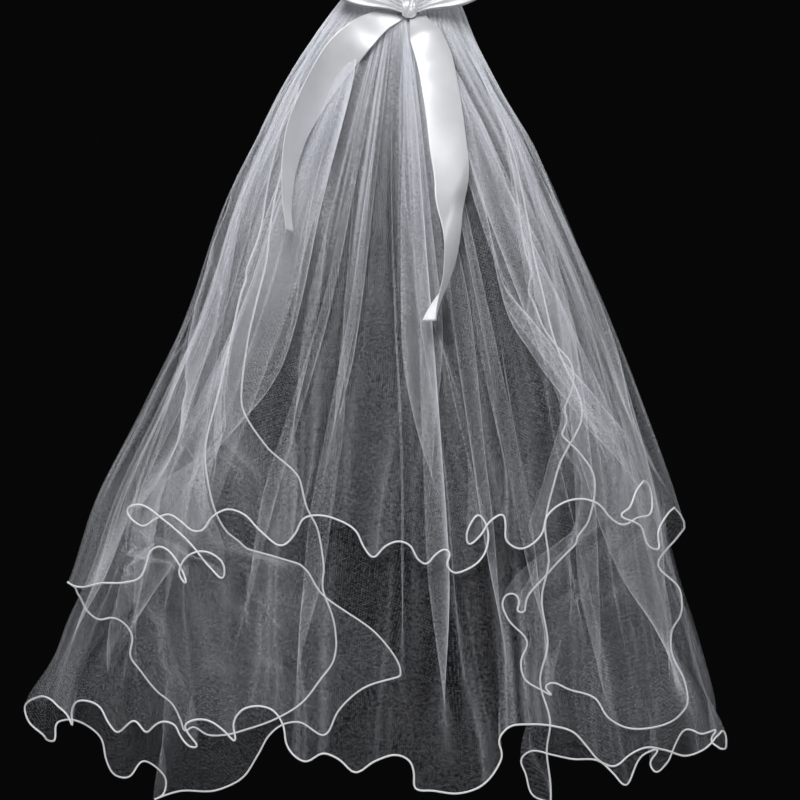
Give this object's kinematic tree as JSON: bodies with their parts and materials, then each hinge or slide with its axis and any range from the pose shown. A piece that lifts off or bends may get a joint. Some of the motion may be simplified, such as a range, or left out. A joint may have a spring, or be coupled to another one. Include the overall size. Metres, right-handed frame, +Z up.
{
  "type": "bridal veil",
  "caption": "Tiered tulle wedding veil gathered on a hair comb, open at the front, with a corded wavy edge and a satin ribbon bow.",
  "frame": {"origin": "middle of the comb's spine, where the hair holds the veil", "axes": "+Z up along the hanging veil, +Y towards the wearer's front and the veil's open side, +X the right as seen from behind"},
  "size_m": [0.7755, 0.4375, 0.912],
  "materials": {
    "tulle": "sheer white net",
    "edge_cord": "white corded edge",
    "satin": "white satin ribbon",
    "comb": "plain pale comb"
  },
  "bodies": {
    "root": {"upper_tier": "tulle", "lower_tier": "tulle", "upper_tier_cord": "edge_cord", "lower_tier_cord": "edge_cord", "bow_knot": "satin", "bow_loop_left": "satin", "bow_loop_right": "satin", "ribbon_tail_left": "satin", "ribbon_tail_right": "satin", "comb": "comb"}
  },
  "joints": []
}
